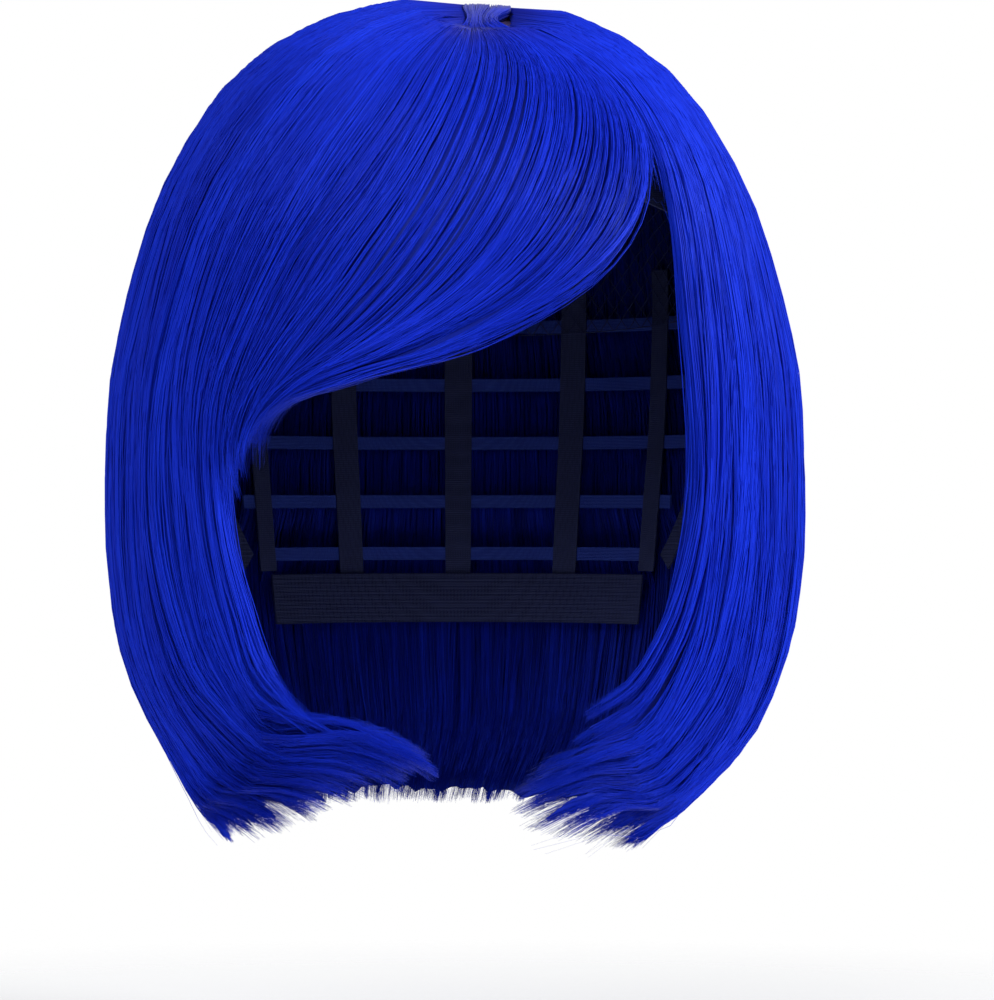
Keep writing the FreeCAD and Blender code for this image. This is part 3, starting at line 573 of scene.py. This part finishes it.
L4 = [(45, .142), (99, .38), (109, .68), (113.5, .95), (115.6, 1.15), (116.7, 1.33), (116.7, 1.50), (115.7, 1.66), (113.5, 1.81), (110, 1.935), (103, 2.01)]
B0 = [(47.4, .131), (101, .38), (110.5, .685), (114.2, .945), (116, 1.145), (117, 1.325), (117, 1.495), (116, 1.655), (114.2, 1.81), (110.8, 1.93), (104.5, 2.0)]
B1 = [(47.7, .115), (127, .355), (137, .675), (140, .93), (140, 1.13), (140, 1.31), (140, 1.48), (140, 1.64), (139, 1.79), (138, 1.92), (136, 1.995)]
B2 = [(45, .098), (170, .33), (179, .66), (180, .93), (180, 1.13), (180, 1.31), (180, 1.48), (180, 1.64), (180, 1.79), (180, 1.92), (180, 2.0)]
B3 = [(38.3, .093), (224, .32), (220.5, .66), (220, .93), (220, 1.13), (220, 1.31), (220, 1.48), (220, 1.64), (221, 1.79), (222, 1.92), (224, 1.995)]
B4 = [(28.6, .096), (268, .335), (252, .665), (246.2, .93), (244, 1.14), (243, 1.32), (243, 1.49), (244, 1.65), (246.2, 1.80), (250, 1.92), (257, 1.99)]

fF = field([F0, F2, F4, F6])
fR = field([R0, R0b, R1, R2, R3, R3b, R4, R5])
fL = field([L0, L0b, L1, L2, L2b, L3, L4])
fB = field([B0, B1, B2, B3, B4])


def round_order(P):
    """sorts strands round the head by where their middle is"""
    mid = P[:, SEG // 2]
    return np.arctan2(mid[:, 0], -mid[:, 1])


def back_order(P):
    mid = P[:, SEG // 2]
    return -np.arctan2(mid[:, 0], mid[:, 1])


def fringe_order(P):
    mid = P[:, SEG // 2]
    return mid[:, 2] - 0.3 * mid[:, 0]


# roots over the skin piece, lying forward under the fringe
fC = field([[(50, .15), (25, .28)] + F0, [(38, .15), (19, .28)] + F2, [(22, .15), (11, .28)] + F4, [(9, .15), (4, .28)] + F6])

S = Strands()
grow(S, fF, 2600, 11, root_zone=0.3, clump=10, u_root=(0, 0.22), u_tip=(0.70, 0.96), edge=0.8, tight=0.42, tip_power=0.8)
grow(S, fC, 620, 53, root_zone=0.3, clump=8, u_root=(0, 0.17), u_tip=(0.35, 0.62), depth=(0.0, 0.62), depth_bias=0.5, tight=0.15, wave=0.5, lift=0.3)
fX = field([F4, F6, R1[:8]])
grow(S, fX, 420, 54, v_range=(0.4, 1.9), root_zone=0.2, clump=9, u_root=(0, 0.3), u_tip=(0.55, 0.98), depth=(0.5, 1.0), tight=0.35)
fY = field([F2[:4], F0[:4], L0[:4], L1[:4]])
grow(S, fY, 150, 55, v_range=(0.7, 2.4), root_zone=0.2, clump=8, u_root=(0, 0.2), u_tip=(0.55, 0.98), depth=(0.4, 0.97), tight=0.3)
grow(S, fF, 45, 51, root_zone=0.3, clump=30, depth=(0.9, 1.05), width=0.09, wave=1.6, frizz=0.8, tone=(0.5, 1.0))
grow(S, fF, 50, 52, v_range=(0.0, 0.25), depth=(0.6, 1.0), width=0.10, wave=1.2, frizz=0.7, clump=8)
fringe = S.mesh("fringe_hair", order=fringe_order, tags=["lower", "middle", "upper"])
S = Strands()
grow(S, fR, 4900, 12, root_zone=0.3, fray=0.15, edge=1.2, edge_w=2.0, clump=11)
grow(S, fR, 850, 66, v_range=(0.4, 6.6), depth=(0.72, 0.99), clump=26, tight=0.92, wave=1.9, u_root=(0.0, 0.35), tone=(0.0, 1.0), edge=1.2, edge_w=2.0)
grow(S, fR, 170, 61, v_range=(1.6, 2.35), u_tip=(0.95, 1.0), depth=(0.25, 0.8), clump=5, tight=0.85, fray=0.2)
grow(S, fR, 60, 62, v_range=(0.0, 0.3), u_tip=(0.93, 1.0), depth=(0.5, 0.9), clump=5, tight=0.8, fray=0.3)
grow(S, fR, 200, 63, v_range=(2.7, 5.3), u_tip=(0.98, 1.0), depth=(0.1, 0.9), clump=12, tight=0.9, fray=0.9)
grow(S, fR, 20, 64, depth=(0.90, 0.99), width=0.09, wave=1.2, frizz=0.8, clump=40, fray=2.0, tone=(0.4, 1.0))
grow(S, fR, 45, 65, v_range=(0.0, 0.12), u_tip=(0.42, 0.62), depth=(0.5, 1.05), width=0.10, wave=2.0, frizz=1.4, clump=6, fray=2.5)
right = S.mesh("right_side_hair", order=round_order, tags=["5", "4", "3", "2", "1"])
S = Strands()
grow(S, fL, 3850, 13, root_zone=0.3, fray=0.15, edge=1.2, edge_w=2.0, clump=11)
grow(S, fL, 700, 76, v_range=(0.4, 5.6), depth=(0.72, 0.99), clump=26, tight=0.92, wave=1.9, u_root=(0.0, 0.35), tone=(0.0, 1.0), edge=1.2, edge_w=2.0)
grow(S, fL, 80, 71, v_range=(0.0, 0.3), u_tip=(0.95, 1.0), depth=(0.5, 0.9), clump=5, tight=0.85, fray=0.3)
grow(S, fL, 140, 72, v_range=(1.7, 2.3), u_tip=(0.96, 1.0), depth=(0.25, 0.8), clump=5, tight=0.85, fray=0.3)
grow(S, fL, 180, 73, v_range=(2.7, 5.2), u_tip=(0.98, 1.0), depth=(0.1, 0.9), clump=12, tight=0.9, fray=0.9)
grow(S, fL, 20, 74, depth=(0.90, 0.99), width=0.09, wave=1.2, frizz=0.8, clump=40, fray=2.0, tone=(0.4, 1.0))
grow(S, fL, 14, 75, v_range=(2.7, 3.7), u_tip=(1.0, 1.0), depth=(0.6, 1.0), width=0.10, wave=3.0, frizz=2.6, clump=30, fray=5.0)
left = S.mesh("left_side_hair", order=round_order, tags=["1", "2", "3", "4"])
S = Strands()
grow(S, fB, 4150, 14, root_zone=0.2, fray=0.2, clump=11)
grow(S, fB, 600, 86, depth=(0.72, 0.99), clump=26, tight=0.92, wave=1.9, u_root=(0.0, 0.35), tone=(0.0, 1.0))
grow(S, fB, 20, 84, depth=(0.90, 0.99), width=0.09, wave=1.2, frizz=0.8, clump=40, fray=2.0, tone=(0.4, 1.0))
grow(S, field([L3, L4, B1]), 225, 87, v_range=(0.70, 1.30), root_zone=0.2, depth=(0.35, 1.0), clump=7, tight=0.3)
grow(S, field([R4, R5, B3]), 225, 88, v_range=(0.70, 1.30), root_zone=0.2, depth=(0.35, 1.0), clump=7, tight=0.3)
back = S.mesh("back_hair", order=back_order, tags=["1", "2", "3", "4"])
fringe.append(undercoat("fringe_underlayer", fF, 91, u1=0.88, jag=0.03, root_zone=0.3, margin=0.12))
right.append(undercoat("right_side_underlayer", fR, 92, u1=0.968, jag=0.025, margin=0.44))
left.append(undercoat("left_side_underlayer", fL, 93, u1=0.968, jag=0.025, margin=0.44))
back.append(undercoat("back_underlayer", fB, 94, u1=0.968, jag=0.025))

# under layers on the weft tracks
WEFT_Z = [-4.0, -22.0, -40.0, -58.0, -74.0]
WEFT_HALF = [74.0, 66.0, 58.0, 50.0, 42.0]
WEFT_END = [-144.0, -141.0, -138.0, -134.0, -130.0]


def weft_band(i):
    def band(th, s, h):
        z = -(s - 1) * DROP
        ws = [step(0, 1, (zk + 9 - z) / 20.0) for zk in WEFT_Z]
        tot = np.maximum(sum(ws), 1.0)
        lo = sum(ws[i + 1:]) / tot if i < 4 else 0 * z
        hi = lo + ws[i] / tot
        b = 2.75 + (7.0 - 2.75) * step(1.40, 1.49, s)
        t = outer_band(th, s, h)[0]
        return b + (t - b) * lo, b + (t - b) * hi
    return band


for i in range(5):
    s0, s1 = 1 - (WEFT_Z[i] - 0.5) / DROP, 1 - WEFT_END[i] / DROP
    lines = [[(180 + WEFT_HALF[i] * f, s0 + (s1 - s0) * k / 6) for k in range(7)] for f in (-1, -0.5, 0, 0.5, 1)]
    S = Strands()
    # tone=(0.0, 0.5) keeps these under-rows on the darker half of the tone range: painted shade for hair lying under
    # the outer layers
    grow(S, field(lines), 760, 30 + i, u_root=(0, 0), u_tip=(0.90, 1.0), clump=7, tight=0.4, wave=0.8, frizz=0.3,
         band=weft_band(i), tone=(0.0, 0.5), start=2.4, fray=0.2, width=0.17, lift=0.3)
    o = S.mesh("under_hair_row_%d" % (i + 1))[0]
    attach(o, "cap")
    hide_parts("weft_hair_%d" % (i + 1))
for sgn, tag in ((1, "left"), (-1, "right")):
    lines = [[(sgn * d, lat(3.0, sgn * d) + (1.79 - lat(3.0, sgn * d)) * k / 6) for k in range(7)] for d in (79, 86, 93, 101)]
    S = Strands()
    # tone=(0.0, 0.5): painted shade for the side under-hair lying beneath the outer layers
    grow(S, field(lines), 420, 40 + sgn, u_root=(0, 0), u_tip=(0.8, 1.0), clump=7, tight=0.4, width=0.17,
         band=lambda th, s, h: (outer_band(th, s, h)[0] - 4.0, outer_band(th, s, h)[0] - 0.8), tone=(0.0, 0.5), start=1.8, fray=0.4, lift=0.3)
    o = S.mesh("under_hair_side_" + tag)[0]
    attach(o, "cap")
    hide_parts("side_weft_hair_" + tag)

for obs, body, a, b, nodes in (
        (fringe, "fringe", (0.011, -0.050, 0.072), (0.010, -0.078, 0.050), ["fringe_lock_lower", "fringe_lock_middle", "fringe_lock_upper"]),
        (right, "right_side", (-0.010, -0.030, 0.080), (-0.055, -0.030, 0.050), ["right_side_lock_%d" % i for i in range(1, 6)]),
        (left, "left_side", (0.028, -0.030, 0.076), (0.068, -0.030, 0.045), ["left_side_lock_%d" % i for i in range(1, 5)]),
        (back, "back_hair", (0.0, -0.008, 0.082), (0.0, 0.055, 0.060), ["back_lock_%d" % i for i in range(1, 5)])):
    for o in obs:
        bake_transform(o)
        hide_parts(*nodes)

# ------------------------------------------------------------------- the cap
def woven(name, c1, c2, warp=520.0, weft=420.0, rough=0.8, bump=0.35, rib=0.0, spec=0.25):
    """narrow woven tape: crossed threads, slubs and a little wear"""
    m, nt, b = new_mat(name)
    tc = nt.nodes.new("ShaderNodeTexCoord")
    wa = node(nt, "ShaderNodeTexWave", _bands_direction="Z", Scale=warp, Distortion=1.5, Detail=1.0)
    wb = node(nt, "ShaderNodeTexWave", _bands_direction="X", Scale=weft, Distortion=1.5, Detail=1.0)
    wc = node(nt, "ShaderNodeTexWave", _bands_direction="Y", Scale=weft, Distortion=1.5, Detail=1.0)
    no = node(nt, "ShaderNodeTexNoise", Scale=160.0, Detail=5.0, Roughness=0.6)
    for n in (wa, wb, wc, no):
        nt.links.new(tc.outputs["Object"], n.inputs["Vector"])
    cross = math_n(nt, "MULTIPLY", wa.outputs["Fac"], math_n(nt, "MAXIMUM", wb.outputs["Fac"], wc.outputs["Fac"]))
    f = math_n(nt, "ADD", math_n(nt, "MULTIPLY", cross, 0.65), math_n(nt, "MULTIPLY", no.outputs["Fac"], 0.5), clamp=True)
    nt.links.new(mixc(nt, f, c1, c2), b.inputs["Base Color"])
    height = cross
    if rib:
        wr = node(nt, "ShaderNodeTexWave", _bands_direction="Z", Scale=rib)
        nt.links.new(tc.outputs["Object"], wr.inputs["Vector"])
        height = math_n(nt, "ADD", cross, wr.outputs["Fac"])
    bp = node(nt, "ShaderNodeBump", Strength=bump, Distance=0.0003)
    nt.links.new(height, bp.inputs["Height"])
    nt.links.new(bp.outputs[0], b.inputs["Normal"])
    nt.links.new(math_n(nt, "MULTIPLY_ADD", no.outputs["Fac"], 0.2), b.inputs["Roughness"])
    r = b.inputs["Roughness"].links[0].from_node
    r.inputs[2].default_value = rough - 0.1
    b.inputs["Specular IOR Level"].default_value = spec
    return m


def plain(name, c1, c2, scale=90.0, rough=0.4, spec=0.5, bump=0.1, **extra):
    m, nt, b = new_mat(name)
    tc = nt.nodes.new("ShaderNodeTexCoord")
    no = node(nt, "ShaderNodeTexNoise", Scale=scale, Detail=6.0, Roughness=0.65)
    fine = node(nt, "ShaderNodeTexNoise", Scale=scale * 12, Detail=3.0)
    for n in (no, fine):
        nt.links.new(tc.outputs["Object"], n.inputs["Vector"])
    nt.links.new(mixc(nt, no.outputs["Fac"], c1, c2), b.inputs["Base Color"])
    nt.links.new(math_n(nt, "MULTIPLY_ADD", fine.outputs["Fac"], 0.25), b.inputs["Roughness"])
    b.inputs["Roughness"].links[0].from_node.inputs[2].default_value = rough - 0.1
    bp = node(nt, "ShaderNodeBump", Strength=bump, Distance=0.0002)
    nt.links.new(fine.outputs["Fac"], bp.inputs["Height"])
    nt.links.new(bp.outputs[0], b.inputs["Normal"])
    b.inputs["Specular IOR Level"].default_value = spec
    for k, v in extra.items():
        b.inputs[k.replace("__", " ")].default_value = v
    return m


M_TAPE = woven("woven_tape", (0.010, 0.014, 0.055), (0.035, 0.045, 0.13))
M_ELASTIC = woven("ribbed_elastic", (0.008, 0.011, 0.05), (0.03, 0.04, 0.12), warp=640.0, weft=300.0, rib=240.0, bump=0.5)
M_TRACK = woven("weft_stitching", (0.010, 0.022, 0.20), (0.03, 0.07, 0.42), warp=700.0, weft=700.0, bump=0.6)
M_NET = woven("net_thread", (0.012, 0.016, 0.07), (0.035, 0.045, 0.15), warp=900.0, weft=900.0)
M_THREAD = woven("sewing_thread", (0.015, 0.03, 0.20), (0.05, 0.09, 0.42), warp=1500.0, weft=1500.0, rough=0.55)
M_SKIN = plain("skin_film", (0.075, 0.045, 0.17), (0.11, 0.065, 0.21), scale=220.0, rough=0.6, spec=0.35, bump=0.2)
M_HOOK = plain("hook_plastic", (0.012, 0.014, 0.03), (0.022, 0.026, 0.05), scale=60.0, rough=0.3, spec=0.5, bump=0.06)
M_STAY = plain("stay_plastic", (0.50, 0.51, 0.50), (0.60, 0.60, 0.58), scale=60.0, rough=0.42, bump=0.08)


def look_of(n):
    if n == "skin_top_patch":
        return M_SKIN
    if "adjuster_hook" in n:
        return M_HOOK
    if "ear_stay" in n:
        return M_STAY
    if "adjuster_strap" in n or n.startswith("side_band") or n == "nape_band":
        return M_ELASTIC
    if "track" in n:
        return M_TRACK
    return M_TAPE


for n, o in NODES.items():
    o.data.materials.clear()
    o.data.materials.append(look_of(n))


def thread(name, lines, radius, mat, body="cap", nodes=()):
    """threads along lines (k, m, 3) in millimetres"""
    P = np.asarray(lines, float)
    o = tube_mesh(name, P, np.full(P.shape[:2], float(radius)), np.zeros(P.shape), mat)
    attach(o, body)
    if nodes:
        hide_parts(*nodes)
    return o


def net_panel(name, a0, a1, b0, b1, nodes):
    """open diamond net of crossed threads, with a cord round its edge"""
    ky, kx, pitch, slope = 1.53, 1.33, 4.6, 0.62
    X0, X1, Y0, Y1 = b0 * kx, b1 * kx, a0 * ky, a1 * ky
    t = np.linspace(0, 1, 44)
    lines = []
    for sgn in (1, -1):
        ends = [x - sgn * slope * y for x in (X0, X1) for y in (Y0, Y1)]
        c = math.ceil(min(ends) / pitch) * pitch
        while c < max(ends):
            ya, yb = Y0, Y1
            lim = sorted(((X0 - c) * sgn / slope, (X1 - c) * sgn / slope))
            ya, yb = max(ya, lim[0]), min(yb, lim[1])
            if yb - ya > 1.5:
                y = ya + (yb - ya) * t
                x = c + sgn * slope * y
                weave = 0.12 * np.sin(y / pitch * 2 * math.pi * slope) * sgn
                lines.append(over(y / ky, x / kx, 0.0) + 0)
                lines[-1] = over(y / ky, x / kx, 0.55 + weave)
            c += pitch
    for k in range(2):
        o = 0.55
        lines.append(over(a0 + (a1 - a0) * t, (b0, b1)[k] + 0 * t, o + 0 * t))
        lines.append(over((a0, a1)[k] + 0 * t, b0 + (b1 - b0) * t, o + 0 * t))
    return thread(name, np.stack(lines), 0.17, M_NET, nodes=nodes)


for a0, a1, end in ((25.0, 96.9, "front"), (97.1, 184.0, "back")):
    for b0, b1, tag in ((0.1, 75.0, "left"), (-75.0, -0.1, "right")):
        net_panel("net_%s_%s" % (end, tag), a0, a1, b0, b1, ["crown_net_%s_%s" % (end, tag)])


def level_line(d0, d1, z, off, m=120, zig=0.0, count=40):
    d = np.linspace(d0, d1, m)
    zz = z + zig * np.where(np.arange(m) % 2 == 0, 1.0, -1.0)
    return place(np.radians(d), lat(zz, d), off)


for i in range(5):
    a, b = 180 - WEFT_HALF[i] + 0.6, 180 + WEFT_HALF[i] - 0.6
    thread("track_stitch_%d" % (i + 1), [level_line(a, b, WEFT_Z[i], 2.42, m=150, zig=1.3),
                                        level_line(a, b, WEFT_Z[i] + 1.75, 2.40, m=150),
                                        level_line(a, b, WEFT_Z[i] - 1.75, 2.40, m=150)], 0.16, M_THREAD)
for deg, name in ((180, "centre"), (158, "inner_left"), (202, "inner_right"), (136.5, "outer_left"), (223.5, "outer_right")):
    end = -82.5 if abs(deg - 180) < 40 else -79.0
    k = math.degrees(4.0 / 90.0) * 0.78
    z = np.linspace(11.0, end + 1.0, 140)
    w = np.where(np.arange(140) % 2 == 0, 1.0, -1.0)
    lines = [place(np.radians(deg + sg * k + 0.22 * w), lat(z, deg + sg * k + 0.22 * w), 1.62 + 0.05 * w) for sg in (1, -1)]
    thread("ribbon_stitch_" + name, lines, 0.14, M_THREAD)
t = np.linspace(0, 1, 160)
w = np.where(np.arange(160) % 2 == 0, 1.0, -1.0)
thread("front_band_stitch", [over(18.6 + 0.35 * w, -71 + 142 * t, 0.98 + 0 * t), over(23.6 + 0.35 * w, -71 + 142 * t, 0.98 + 0 * t)],
       0.14, M_THREAD)
thread("nape_band_stitch", [level_line(138, 222, -82.0, 0.98, m=150, zig=0.45), level_line(138, 222, -93.0, 0.98, m=150, zig=0.45)],
       0.14, M_THREAD)
for side, tag in ((1, "left"), (-1, "right")):
    u = np.concatenate([np.linspace(0.06, 0.93, 34), np.linspace(0.93, 0.06, 34)])
    sg = np.concatenate([np.full(34, 1.0), np.full(34, -1.0)])
    z = 5.0 + (-33.0 - 5.0) * u
    half = (3.2 + 5.4 * np.sqrt(np.maximum(0.0, 1 - u ** 2.4))) * 0.80
    d = side * (64.5 + half * sg)
    thread("ear_tab_stitch_" + tag, [place(np.radians(d), lat(z, d), 2.16 + 0 * z)], 0.15, M_THREAD, body="ear_tab_" + tag)

# ------------------------------------------------------------ floor and light
world = bpy.data.worlds.new("world")
bpy.context.scene.world = world
world.use_nodes = True
world.node_tree.nodes["Background"].inputs[0].default_value = (1.0, 1.0, 1.0, 1.0)
world.node_tree.nodes["Background"].inputs[1].default_value = 1.0
wnt = world.node_tree
soft = wnt.nodes.new("ShaderNodeBackground")
soft.inputs[0].default_value = (0.93, 0.95, 1.0, 1.0)
soft.inputs[1].default_value = 0.66
rays = wnt.nodes.new("ShaderNodeLightPath")
wmix = wnt.nodes.new("ShaderNodeMixShader")
wtc = wnt.nodes.new("ShaderNodeTexCoord")
wsep = wnt.nodes.new("ShaderNodeSeparateXYZ")
wnt.links.new(wtc.outputs["Generated"], wsep.inputs[0])
wr = wnt.nodes.new("ShaderNodeMapRange")
wr.inputs["From Min"].default_value = -0.8
wr.inputs["From Max"].default_value = 0.9
wr.inputs["To Min"].default_value = 0.60
wr.inputs["To Max"].default_value = 0.42
wnt.links.new(wsep.outputs[1], wr.inputs["Value"])
wnt.links.new(wr.outputs[0], soft.inputs[1])
wnt.links.new(rays.outputs["Is Camera Ray"], wmix.inputs[0])
wnt.links.new(soft.outputs[0], wmix.inputs[1])
wnt.links.new(wnt.nodes["Background"].outputs[0], wmix.inputs[2])
wnt.links.new(wmix.outputs[0], wnt.nodes["World Output"].inputs[0])


def area(name, loc, target, size, power, colour=(1, 1, 1)):
    d = bpy.data.lights.new(name, "AREA")
    d.energy = power
    d.size = size
    d.color = colour
    o = bpy.data.objects.new(name, d)
    bpy.context.scene.collection.objects.link(o)
    o.location = loc
    o.rotation_euler = (Vector(target) - Vector(loc)).to_track_quat("-Z", "Y").to_euler()
    return o


bpy.ops.mesh.primitive_circle_add(vertices=96, radius=0.5, fill_type="TRIFAN", location=(0, 0, -0.235))
floor = bpy.context.active_object
floor.name = "floor"
fm, fnt, fb = new_mat("floor_paper")
ftc = fnt.nodes.new("ShaderNodeTexCoord")
fgrad = fnt.nodes.new("ShaderNodeTexGradient")
fgrad.gradient_type = "SPHERICAL"
fmap = node(fnt, "ShaderNodeMapping", Scale=(2.05, 2.05, 2.05))
fnt.links.new(ftc.outputs["Object"], fmap.inputs["Vector"])
fnt.links.new(fmap.outputs[0], fgrad.inputs["Vector"])
fnoise = node(fnt, "ShaderNodeTexNoise", Scale=300.0, Detail=3.0)
fnt.links.new(ftc.outputs["Object"], fnoise.inputs["Vector"])
fnt.links.new(mixc(fnt, fnoise.outputs["Fac"], (0.90, 0.90, 0.91), (0.94, 0.94, 0.94)), fb.inputs["Base Color"])
fb.inputs["Roughness"].default_value = 0.9
fnt.links.new(math_n(fnt, "MULTIPLY", fgrad.outputs["Fac"], 1.6, clamp=True), fb.inputs["Alpha"])
floor.data.materials.append(fm)

area("key", (1.15, -0.85, 0.6), (0, 0, -0.02), 0.5, 23.0)
area("fill", (-0.5, -1.4, 0.7), (0, 0, -0.03), 0.9, 12.0)
area("rim", (0.1, 1.3, 0.5), (0, 0, -0.02), 1.2, 3.0)
